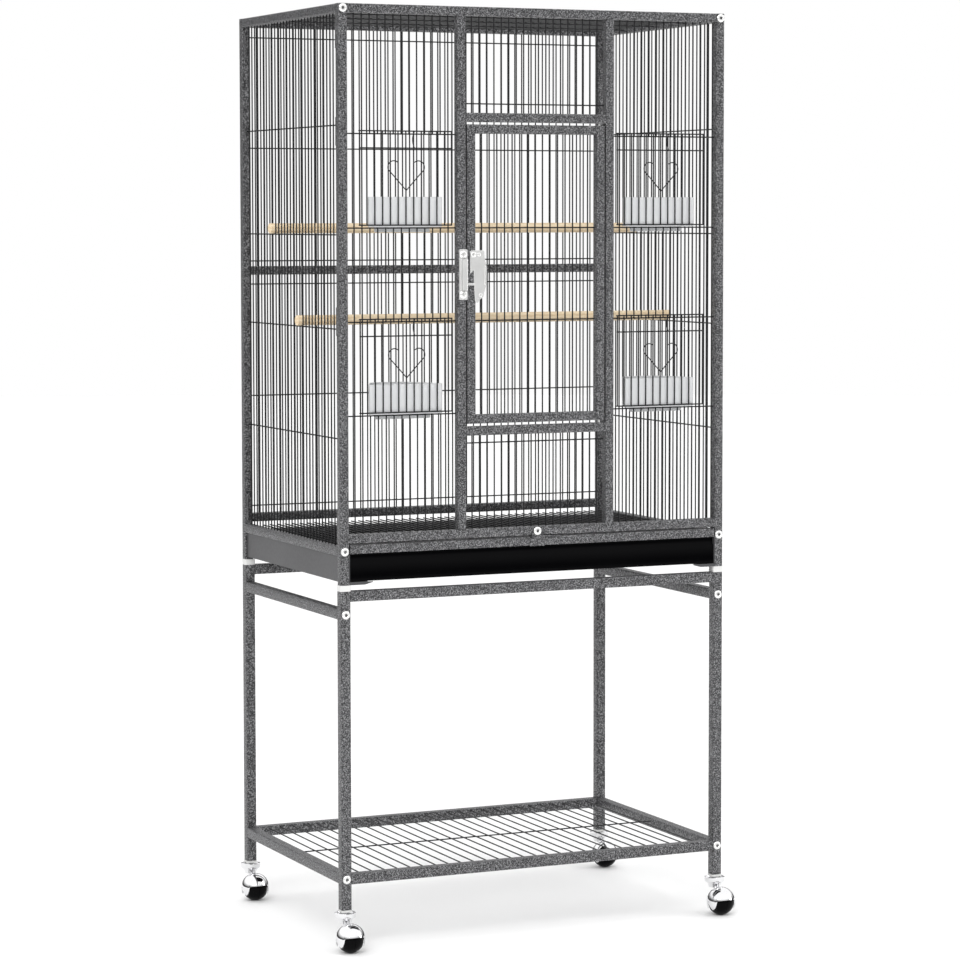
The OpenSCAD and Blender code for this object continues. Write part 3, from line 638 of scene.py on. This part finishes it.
class CAGE_OT_studio(PieceOperator):
    """Sets up the camera, a plain pale floor and soft studio light"""

    bl_idname = "cage.studio"
    bl_label = "Studio"

    def make(self, scene):
        stage = scene.cage_stage
        self.camera(scene, stage)
        self.floor()
        self.sky(scene)
        self.light(scene, "key", (-2.2, -2.6, 2.9), (1.8, 2.2), stage.key_power)
        self.light(scene, "fill", (3.0, -1.6, 1.6), (1.2, 2.4), stage.fill_power)
        scene.view_settings.view_transform = "Standard"

    def camera(self, scene, stage):
        data = bpy.data.cameras.new("camera")
        data.sensor_width = 36.0
        data.lens = stage.lens
        data.shift_y = stage.shift
        camera = bpy.data.objects.new("camera", data)
        ahead = (math.sin(stage.turn), math.cos(stage.turn))
        sight = np.array([*ahead, -math.tan(stage.dip)])
        right = np.array([ahead[1], -ahead[0], 0.0])
        sight /= np.linalg.norm(sight)
        up = np.cross(right, sight)
        tilted_right = right * math.cos(stage.roll) + up * math.sin(stage.roll)
        tilted_up = up * math.cos(stage.roll) - right * math.sin(stage.roll)
        pose = np.eye(4)
        pose[:3, 0], pose[:3, 1], pose[:3, 2] = tilted_right, tilted_up, -sight
        pose[:3, 3] = stage.location
        scene.collection.objects.link(camera)
        camera.matrix_world = Matrix(pose.tolist())
        scene.camera = camera

    def floor(self):
        """A wide disc at the height of the wheels."""
        mesh = bpy.data.meshes.new("floor")
        points, faces = revolved([(0.0, 0.0), (2.0, 0.0), (14.0, 0.0)], (0.0, 0.0, 0.0), Z, 64)
        mesh.from_pydata(points.tolist(), [], faces.tolist())
        pale = Finish("pale_floor", Roughness=0.75)
        shades = [pale.colour([shade] * 3) for shade in (0.93, 0.96)]
        pale.put("Base Color", pale.blend(pale.noise(3.0), *shades))
        mesh.materials.append(pale.material)
        floor = bpy.data.objects.new("floor", mesh)
        bpy.context.scene.collection.objects.link(floor)

    def sky(self, scene):
        """Even white to the eye; for light and reflections, bright above and dim at the horizon."""
        world = bpy.data.worlds.new("studio")
        world.use_nodes = True
        shading = Shading(world.node_tree)
        seen = shading.node("ShaderNodeTexCoord", out="Generated")
        height = shading.node("ShaderNodeSeparateXYZ", inputs={"Vector": seen}, out="Z")
        stops = (0.12, (0.05, 0.05, 0.05)), (0.42, (1.0, 1.0, 1.0))
        glow = shading.node("ShaderNodeValToRGB", {"stops": stops}, {"Fac": height})
        plain = shading.node("ShaderNodeBackground", inputs={"Color": (1.0, 1.0, 1.0, 1.0)})
        to_eye = shading.node("ShaderNodeLightPath", out="Is Camera Ray")
        shade = world.node_tree.nodes["Background"]
        shading.join(shade.inputs["Color"], glow)
        shading.join(shade.inputs["Strength"], 1.25)
        lit = Term(shading, shade.outputs["Background"])
        mixed = shading.node("ShaderNodeMixShader", inputs={0: to_eye, 1: lit, 2: plain})
        shading.join(world.node_tree.nodes["World Output"].inputs["Surface"], mixed)
        scene.world = world

    def light(self, scene, name, place, size, power):
        """A rectangular soft box that faces the middle of the cage."""
        data = bpy.data.lights.new(name, "AREA")
        data.shape = "RECTANGLE"
        data.size, data.size_y = size
        data.energy = power
        lamp = bpy.data.objects.new(name, data)
        scene.collection.objects.link(lamp)
        away = np.array(place) - np.array([0.0, 0.0, 0.75])
        away /= np.linalg.norm(away)
        right = np.cross([0.0, 0.0, 1.0], away)
        right /= np.linalg.norm(right)
        pose = np.eye(4)
        pose[:3, 0], pose[:3, 1], pose[:3, 2], pose[:3, 3] = right, np.cross(away, right), away, place
        lamp.matrix_world = Matrix(pose.tolist())


class CAGE_OT_cad_finishes(PieceOperator):
    """Gives every CAD node the finish of its slot; pieces made later stand for some of them"""

    bl_idname = "cage.cad_finishes"
    bl_label = "CAD Finishes"

    def make(self, scene):
        for part in frame["record"]["subparts"]:
            node = frame["nodes"][part["node"]]
            node.data.materials.clear()
            node.data.materials.append(finish_for(part["material_slot"]))


class CAGE_OT_tubes(PieceOperator):
    """Makes the square tubes of the stand, cage and door with rounded corners"""

    bl_idname = "cage.tubes"
    bl_label = "Square Tubes"
    tubes = (
        "stand_legs", "stand_top_rails", "stand_side_rails", "cage_posts", "front_top_rail",
        "front_bottom_rail", "door_posts", "door_header", "door_sill", "back_rails", "side_rails_left",
        "side_rails_right", "door_frame",
    )

    def make(self, scene):
        for node in self.tubes:
            surface = joined(*(square_tube(points, scene.cage_tube) for points in solid_points(node)))
            new_piece("tube_" + node, surface, "powder_coat", BODY_OF_NODE[node], [node])
        rails = [square_tube(ends, scene.cage_tube) for ends in self.ring(*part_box("shelf_rails"))]
        new_piece("tube_shelf_rails", joined(*rails), "powder_coat", "frame", ["shelf_rails"])

    def ring(self, low, high):
        """The opposite corners of four rails that run between the legs, which fill the ring's corners."""
        tube = high.z - low.z
        x0, x1, y0, y1 = low.x + tube, high.x - tube, low.y + tube, high.y - tube
        spans = (
            (x0, low.y, x1, y0), (x0, y1, x1, high.y), (low.x, y0, x0, y1), (x1, y0, high.x, y1),
        )
        return [np.array([[ax, ay, low.z], [bx, by, high.z]]) for ax, ay, bx, by in spans]


class CAGE_OT_wire_panels(PieceOperator):
    """Makes the welded wire panels: round bars, long wires and a bead at every crossing"""

    bl_idname = "cage.wire_panels"
    bl_label = "Wire Panels"
    panels = (
        "shelf_grid", "front_bars_left", "front_bars_right", "front_bars_over_door",
        "front_bars_under_door", "back_bars_upper", "back_bars_lower", "side_bars_left",
        "side_bars_right", "roof_bars", "door_bars", "grate_wires",
    )

    def make(self, scene):
        gauge = scene.cage_wire
        for node in self.panels:
            wires = wires_of(node, gauge.diameter)
            if not wires:
                raise RuntimeError("no wires were found in " + node)
            starts, ends = (np.array([w[k] for w in wires]) for k in (1, 2))
            bars = rods(starts, ends, gauge.diameter / 2, gauge.sides)
            welds = beads(crossings(wires, 1.1 * gauge.diameter), 0.8 * gauge.bead)
            new_piece("wires_" + node, joined(bars, welds), "black_wire", BODY_OF_NODE[node], [node])


class CAGE_OT_feeder_doors(PieceOperator):
    """Makes the four sliding wire doors with their hearts, bows and guide hooks"""

    bl_idname = "cage.feeder_doors"
    bl_label = "Feeder Doors"

    def make(self, scene):
        for place in FEEDERS:
            self.door(scene.cage_wire, "feeder_door_" + place)

    def door(self, gauge, node):
        low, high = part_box(node)
        radius, thin = gauge.diameter / 2, gauge.thin / 2
        bar_y = high.y
        door_y = bar_y - 0.0027
        hook_r = 0.0023
        centre = (low.x + high.x) / 2
        z0, z1 = low.z + radius, high.z - radius
        rail_gap = 0.024
        half, pitch = 0.0715, 0.012
        count = round(2 * half / pitch)
        inner = centre - half + 2 * half * np.arange(1, count) / count
        edge = half - radius
        xs = np.concatenate([[centre - edge], inner, [centre + edge]])
        rail_zs = np.array([z0, z1 - rail_gap, z1])
        rail_y = door_y + 0.0004
        upright = self.lines(xs, door_y, z0, xs, door_y, z1)
        rails = self.lines(centre - half, rail_y, rail_zs, centre + half, rail_y, rail_zs)
        spots = np.stack(np.meshgrid(xs, [door_y], rail_zs), axis=-1).reshape(-1, 3)
        parts = [
            rods(*upright, radius, gauge.sides), rods(*rails, radius, gauge.sides),
            beads(spots, gauge.bead * np.array([0.75, 0.6, 0.75])),
        ]
        reach = (high.x - low.x) / 2 - hook_r - thin
        parts += [
            bent_wire(self.hook(centre + s * reach, bar_y, z, hook_r), (0.0, 0.0, 1.0), thin)
            for s in (-1, 1) for z in (z0, z1)
        ]
        front_y = door_y - 0.0012
        heart = self.heart(centre, front_y, z0 + 0.049)
        parts += [bent_wire(path, (0.0, 1.0, 0.0), thin) for path in heart]
        parts.append(bent_wire(self.bow(centre + 0.013, front_y, z1, rail_gap), (0.0, 1.0, 0.0), thin))
        new_piece(node + "_wires", joined(*parts), "black_wire", BODY_OF_NODE[node], [node])

    def lines(self, x0, y0, z0, x1, y1, z1):
        """Starts and ends from coordinates that may be numbers or arrays."""
        start = np.stack(np.broadcast_arrays(x0, y0, z0), axis=-1).astype(float)
        end = np.stack(np.broadcast_arrays(x1, y1, z1), axis=-1).astype(float)
        return start, end

    def hook(self, x, y, z, radius):
        """The half ring that passes in front of a guide bar."""
        flat = arc(x, y, radius, 180, 360, 17)
        return np.column_stack([flat, np.full(len(flat), z)])

    def heart(self, x, y, z):
        """Two strokes from the point: a straight stretch, then a lobe that curls back inwards."""
        lobe_r, lobe_x, lobe_z, lean = 0.0092, 0.0188, 0.0325, math.radians(43)
        straight = np.linspace(0.0, 0.0385, 12)[:, None] * np.array([math.sin(lean), math.cos(lean)])
        lobe = arc(lobe_x, lobe_z, lobe_r, -25, 130, 22)
        stroke = np.vstack([straight[:-2], lobe])
        return [
            np.column_stack([x + s * stroke[:, 0], np.full(len(stroke), y), z + stroke[:, 1]])
            for s in (-1, 1)
        ]

    def bow(self, x, y, z, span, rise=0.003):
        """A shallow arc that hangs from one rail to the next."""
        radius = (span * span / 4 + rise * rise) / (2 * rise)
        half = math.degrees(math.asin(span / 2 / radius))
        flat = arc(x + radius - rise, z - span / 2, radius, 180 - half, 180 + half, 21)
        return np.column_stack([flat[:, 0], np.full(len(flat), y), flat[:, 1]])


class CAGE_OT_feeder_cups(PieceOperator):
    """Makes the four moulded cups, with a narrower foot and a rolled lip"""

    bl_idname = "cage.feeder_cups"
    bl_label = "Feeder Cups"

    def make(self, scene):
        for place in FEEDERS:
            self.cup("feeder_cup_" + place)

    def outline(self, low, high, inset, set_back):
        """A plan with eased front corners, sides that close in and wide back corners, right half first."""
        half, wide, lean = (high.x - low.x) / 2, 0.018, 24
        depth = high.y - low.y
        back_x, back_y = half - 0.022 - inset - wide, depth - inset - wide
        turn = math.radians(lean)
        slope = (half - inset - back_x - wide * math.cos(turn)) / (back_y + wide * math.sin(turn))
        corner = np.array([half - inset - set_back * slope, set_back])
        ease = 0.003
        before, after = corner - [ease, 0.0], corner + ease * np.array([-slope, 1.0])
        share = np.linspace(0.0, 1.0, 6)[:, None]
        front = (1 - share) ** 2 * before + 2 * share * (1 - share) * corner + share**2 * after
        right = np.vstack([front, arc(back_x, back_y, wide, lean, 86, 9)])
        left = right[::-1] * [-1.0, 1.0]
        return np.vstack([right, left]) + [(low.x + high.x) / 2, low.y]

    def cup(self, node):
        low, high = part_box(node)
        wall, foot_in, foot_back, lip, drop = 0.002, 0.008, 0.0114, 0.0006, 0.0008
        step_z = low.z + 0.0073
        floor_in, floor_back = foot_in + wall, foot_back + wall
        rings = [
            (foot_in + 0.001, foot_back + 0.001, low.z), (foot_in, foot_back, low.z + 0.001),
            (foot_in, foot_back, step_z - 0.0004), (foot_in - lip, foot_back - lip, step_z),
            (lip, lip, step_z), (0.0, 0.0, step_z + drop), (0.0, 0.0, high.z - drop), (lip, lip, high.z),
            (wall - lip, wall - lip, high.z), (wall, wall, high.z - drop), (wall, wall, step_z + wall),
            (floor_in, floor_back, step_z + wall), (floor_in, floor_back, low.z + wall),
        ]
        outlines = [self.outline(low, high, inset, back) for inset, back, _ in rings]
        points = np.concatenate([
            np.column_stack([flat, np.full(len(flat), ring[2])]) for flat, ring in zip(outlines, rings)
        ])
        count = len(outlines[0])
        faces = grid_faces(len(rings), count, wrap_columns=True).tolist()
        faces.append(list(range(count)))
        faces.append(list(range((len(rings) - 1) * count, len(rings) * count)))
        new_piece(node + "_shell", (points, faces), "cup_plastic", BODY_OF_NODE[node], [node])


class CAGE_OT_perches(PieceOperator):
    """Makes the two turned dowels with eased ends and a shallow groove near each end"""

    bl_idname = "cage.perches"
    bl_label = "Perches"

    def make(self, scene):
        for row in ROWS:
            node = "perch_" + row
            low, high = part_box(node)
            centre = ((low.x + high.x) / 2, (low.y + high.y) / 2, (low.z + high.z) / 2)
            radius, half = (high.z - low.z) / 2, (high.x - low.x) / 2
            ease, inset, groove = 0.0008, 0.0075, 0.0004
            end = [
                (0.0, half), (radius - ease, half), (radius, half - ease), (radius, half - inset),
                (radius - groove, half - inset - groove), (radius, half - inset - 2 * groove),
            ]
            profile = [(r, -h) for r, h in end] + end[::-1]
            dowel = revolved(profile, centre, X, 40)
            new_piece(node + "_dowel", dowel, "pine", BODY_OF_NODE[node], [node])


class CAGE_OT_bolts(PieceOperator):
    """Makes the frame bolts: a domed head with a socket, on a short shank"""

    bl_idname = "cage.bolts"
    bl_label = "Bolts"

    def make(self, scene):
        middle = sum(corner.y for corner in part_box("cage_posts")) / 2
        for node in ("stand_bolts", "cage_bolts"):
            parts = [self.bolt(points, middle) for points in solid_points(node)]
            new_piece(node + "_plated", joined(*parts), "zinc", BODY_OF_NODE[node], [node])

    def bolt(self, points, middle):
        """Head and shank by one profile, from the tip of the shank to the floor of the socket."""
        low, high = points.min(axis=0), points.max(axis=0)
        centre = (low + high) / 2
        outward = 1.0 if centre[Y] > middle else -1.0
        face = high[Y] if outward > 0 else low[Y]
        length = high[Y] - low[Y]
        head_r, head_h, shank_r = (high[X] - low[X]) / 2, 0.0022, 0.0024
        socket_r, socket_h = 0.0022, 0.006
        profile = [
            (0.0, -length), (shank_r, -length), (shank_r, -head_h), (head_r, -head_h),
            (head_r, -head_h + 0.0008), (0.93 * head_r, -head_h + 0.0012), (0.8 * head_r, -0.0004),
            (0.66 * head_r, 0.0), (socket_r + 0.0004, 0.0), (socket_r, -0.0004),
            (socket_r, -socket_h), (0.0, -socket_h),
        ]
        profile = [(r, outward * h) for r, h in profile]
        return revolved(profile, (centre[X], face, centre[Z]), Y, 28)


class CAGE_OT_latch(PieceOperator):
    """Makes the zinc latch: the keeper with its folded channel, the lever and its pivot screw"""

    bl_idname = "cage.latch"
    bl_label = "Door Latch"

    def make(self, scene):
        self.keeper()
        self.lever()
        self.screw()

    def keeper(self):
        low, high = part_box("latch_keeper")
        wall, channel_w, channel_h, radius = 0.0012, 0.009, 0.045, 0.0015
        width, height = 0.013, high.z - low.z
        centre_x, centre_z = low.x + width / 2, (low.z + high.z) / 2
        plate = prism(rounded_outline(width, height, radius, 5), Y, 0.0, -wall)
        # The channel is a hat section carried along Z
        depth = high.y - wall - low.y
        outer, inner = channel_w / 2, channel_w / 2 - wall
        bend, crease, offset, bite = 0.0012, 0.0004, 0.0008, 0.00002
        hat = [
            (-outer, 0.0), (-outer, -depth + bend), (-outer + crease, -depth + crease),
            (-outer + bend, -depth), (outer - bend, -depth), (outer - crease, -depth + crease),
            (outer, -depth + bend), (outer, 0.0), (inner, 0.0), (inner, -depth + wall),
            (-inner, -depth + wall), (-inner, 0.0),
        ]
        hat = np.array(hat) + [centre_x + offset, high.y - wall + bite]
        channel = prism(hat, Z, centre_z - channel_h / 2, centre_z + channel_h / 2)
        surface = joined(moved(plate, [centre_x, high.y, centre_z]), channel)
        new_piece("keeper_plate", surface, "zinc", "frame", ["latch_keeper"], bevel=0.0003)

    def lever(self):
        """The lever's outline: nose, step, slanted edge, pointed tip and a bowed free edge."""
        x, _, z = JOINT_AT["latch_swing"]
        low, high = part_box("latch_lever")
        thick = 0.002
        outline = np.array([
            (-2.5, 6), (-4.5, 4), (-4.5, -27), (1, -22.5), (1.5, -45), (3, -66), (4.3, -68.5), (7.9, -68.5),
            (9.5, -65), (15.5, -61), (20.5, -43), (20.7, -16), (19, -10), (17.3, 4), (15.5, 6),
        ]) / 1000.0
        plate = prism(outline, Y, 0.0, -thick)
        tongue = prism(rounded_outline(0.010, 0.0035, 0.0008, 3), Y, -0.0002, -0.0018)
        rib = prism(rounded_outline(0.0026, 0.028, 0.0012, 4), Y, 0.0, low.y - high.y)
        eyes = [self.eyelet(x + a, high.y - thick, z + b) for a, b in ((0.009, 0.0), (0.0115, -0.058))]
        surface = joined(
            moved(plate, [x, high.y, z]), moved(tongue, [x - 0.0027, high.y, z - 0.04225]),
            moved(rib, [x + 0.019, high.y, z - 0.030]), *eyes,
        )
        new_piece("latch_lever_plate", surface, "zinc", "latch", ["latch_lever"], bevel=0.0003)

    def eyelet(self, x, y, z):
        """A rolled rim round a hole, sunk a little into the plate."""
        profile = [(0.0, 0.0004), (0.0014, 0.0004), (0.0017, -0.0004), (0.0023, -0.0006), (0.0027, 0.0)]
        return revolved(profile, (x, y, z), Y, 24)

    def screw(self):
        """A domed screw with a socket, over the pivot."""
        low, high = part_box("latch_pivot_screw")
        x, _, z = JOINT_AT["latch_swing"]
        length, shank_r, head_h, socket_r, socket_h = high.y - low.y, 0.0025, 0.002, 0.002, 0.005
        profile = [
            (0.0, length), (shank_r, length), (shank_r, head_h), (0.0046, head_h), (0.0045, 0.0013),
            (0.0036, 0.0002), (0.0028, 0.0), (0.0023, 0.0), (socket_r, 0.0003), (socket_r, socket_h),
            (0.0, socket_h),
        ]
        surface = revolved(profile, (x, low.y, z), Y, 32)
        new_piece("latch_screw", surface, "zinc", "front_door", ["latch_pivot_screw"])


class CAGE_OT_tray(PieceOperator):
    """Makes the drip tray: one folded sheet with a stepped front, and two side walls"""

    bl_idname = "cage.tray"
    bl_label = "Drip Tray"

    def make(self, scene):
        low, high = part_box("drip_tray")
        sheet, set_back = 0.0012, 0.003
        front_y, back_top = low.y + set_back, low.z + 0.030
        front = [(low.y, low.z), (low.y, low.z + 0.0265), (front_y, low.z + 0.0305), (front_y, high.z)]
        inner_front = [(y + sheet, z) for y, z in reversed(front[1:])]
        section = front + inner_front + [
            (low.y + sheet, low.z + sheet), (high.y - sheet, low.z + sheet), (high.y - sheet, back_top),
            (high.y, back_top), (high.y, low.z),
        ]
        # The side walls end within the thickness of the folded sheet
        y0, y1, z0 = front_y + 0.0005, high.y - sheet / 2, low.z + sheet / 2
        side = [(y0, z0), (y1, z0), (y1, back_top), (y0, back_top)]
        walls = [prism(side, X, x, x + sheet) for x in (low.x, high.x - sheet)]
        surface = joined(prism(section, X, low.x, high.x), *walls)
        new_piece("tray_sheet", surface, "tray_enamel", "tray", ["drip_tray"], bevel=0.0004)


class CAGE_OT_casters(PieceOperator):
    """Makes the four ball casters: plated hood, cup and stem, and a black wheel under each"""

    bl_idname = "cage.casters"
    bl_label = "Casters"

    def make(self, scene):
        for corner in CORNERS:
            swivel = np.array(JOINT_AT["caster_swivel_" + corner])
            axle = np.array(JOINT_AT["caster_roll_" + corner])
            self.hood(corner, swivel, axle)
            self.wheel(corner, axle)

    def hood(self, corner, swivel, axle):
        node = "caster_hood_" + corner
        _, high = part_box(node)
        radius, wall = 0.0215, 0.001
        shell = self.shell(axle, radius, radius - wall)
        stem, cup, rim, ease = 0.004, 0.015, 0.0136, 0.0006
        cup_z, neck_z = 0.0475, 0.0385
        profile = [
            (0.0, high.z), (stem - ease, high.z), (stem, high.z - ease), (stem, 0.0525),
            (cup - 0.0022, 0.0520), (rim, 0.0532), (rim, 0.0538), (cup - 0.0007, 0.0543),
            (cup, 0.0538), (cup, cup_z + ease), (cup - 0.0008, cup_z - ease), (0.0118, 0.0452),
            (0.0100, 0.0430), (0.0085, neck_z), (0.0, neck_z),
        ]
        neck = revolved(profile, (swivel[X], swivel[Y], 0.0), Z, 56)
        rivet = [(0.0, radius), (0.0018, 0.0213), (0.0026, 0.0206), (0.0026, 0.0150), (0.0, 0.0150)]
        rivets = [revolved([(r, s * h) for r, h in rivet], axle, X, 24) for s in (-1, 1)]
        surface = joined(shell, neck, *rivets)
        body = BODY_OF_NODE[node]
        new_piece("hood_" + corner, surface, "chrome", body, [node], sharp=math.radians(50))

    def shell(self, axle, outer, inner):
        """A ball's shell about the axle, kept above a lower edge that dips into an ear at each side.

        Across is the angle from the middle plane towards the axle's ends, and round is the angle
        about the axle; the lower edge falls smoothly from just above the axle to below it.
        """
        across = np.radians(np.linspace(-86, 86, 61))[:, None]
        share = np.linspace(0.0, 1.0, 65)[None]
        sideways = np.abs(np.sin(across))
        dip = np.clip((sideways - 0.66) / 0.16, 0.0, 1.0)
        dip = dip * dip * (3 - 2 * dip)
        start = np.radians(14) * (1 - dip) - np.radians(58) * dip
        angle = start + (np.pi - 2 * start) * share

        def ball(radius):
            return np.stack([
                radius * np.sin(across) + 0 * angle,
                radius * np.cos(across) * np.cos(angle),
                radius * np.cos(across) * np.sin(angle),
            ], axis=-1)

        skins = np.stack([ball(outer), ball(inner)])
        rows, columns = skins.shape[1:3]
        points = skins.reshape(-1, 3) + axle
        face = grid_faces(rows, columns)
        size = rows * columns
        rim = np.concatenate([
            np.arange(columns), np.arange(1, rows) * columns + columns - 1,
            np.arange(columns - 2, -1, -1) + (rows - 1) * columns, np.arange(rows - 2, 0, -1) * columns,
        ])
        after = np.roll(rim, -1)
        edge = np.stack([rim, after, after + size, rim + size], axis=-1)
        return points, np.concatenate([face, face[:, ::-1] + size, edge])

    def wheel(self, corner, axle):
        """A ball cut flat at both ends, with a parting groove and a hub sunk in each face."""
        node = "caster_wheel_" + corner
        low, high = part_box(node)
        radius, half, bore = (high.z - low.z) / 2, (high.x - low.x) / 2, 0.00255
        edge = math.degrees(math.asin(half / radius))
        lift = np.radians(np.linspace(0.8, edge - 2.5, 18))
        skin = [(radius * math.cos(a), radius * math.sin(a)) for a in lift]
        face_r = radius * math.cos(math.radians(edge))
        sunk, hub = half - 0.002, half - 0.0004
        cap = [
            (face_r - 0.0002, half - 0.0001), (face_r - 0.0012, half), (face_r - 0.003, half - 0.0002),
            (face_r - 0.0038, sunk), (0.0058, sunk), (0.0052, hub), (bore, hub),
        ]
        right = [(radius - 0.0004, 0.0)] + skin + cap
        left = [(r, -h) for r, h in reversed(right[1:])]
        ring = np.array(left + right)
        points, _ = revolved(ring, axle, X, 64)
        faces = grid_faces(len(ring), 64, wrap_rows=True, wrap_columns=True)
        body = BODY_OF_NODE[node]
        new_piece("wheel_" + corner, (points, faces), "wheel_black", body, [node], sharp=math.radians(32))


class CAGE_PT_panel(bpy.types.Panel):
    """Lists the settings and the steps of the cage"""

    bl_idname = "CAGE_PT_panel"
    bl_label = "Bird Cage"
    bl_space_type = "VIEW_3D"
    bl_region_type = "UI"
    bl_category = "Bird Cage"

    def draw(self, context):
        for step in STEPS:
            self.layout.operator(step.bl_idname)
        for name, group in SETTINGS.items():
            box = self.layout.box()
            for field in group.__annotations__:
                box.prop(getattr(context.scene, name), field)


STEPS = (
    CAGE_OT_studio,
    CAGE_OT_cad_finishes,
    CAGE_OT_tubes,
    CAGE_OT_wire_panels,
    CAGE_OT_feeder_doors,
    CAGE_OT_feeder_cups,
    CAGE_OT_perches,
    CAGE_OT_bolts,
    CAGE_OT_latch,
    CAGE_OT_tray,
    CAGE_OT_casters,
)


def register():
    for name, group in SETTINGS.items():
        bpy.utils.register_class(group)
        setattr(bpy.types.Scene, name, bpy.props.PointerProperty(type=group))
    for item in (*STEPS, CAGE_PT_panel):
        bpy.utils.register_class(item)


def unregister():
    for item in (CAGE_PT_panel, *reversed(STEPS)):
        bpy.utils.unregister_class(item)
    for name, group in SETTINGS.items():
        delattr(bpy.types.Scene, name)
        bpy.utils.unregister_class(group)


def main():
    """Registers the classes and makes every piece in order."""
    register()
    for step in STEPS:
        group, name = step.bl_idname.split(".")
        getattr(getattr(bpy.ops, group), name)()


if __name__ == "__main__":
    main()
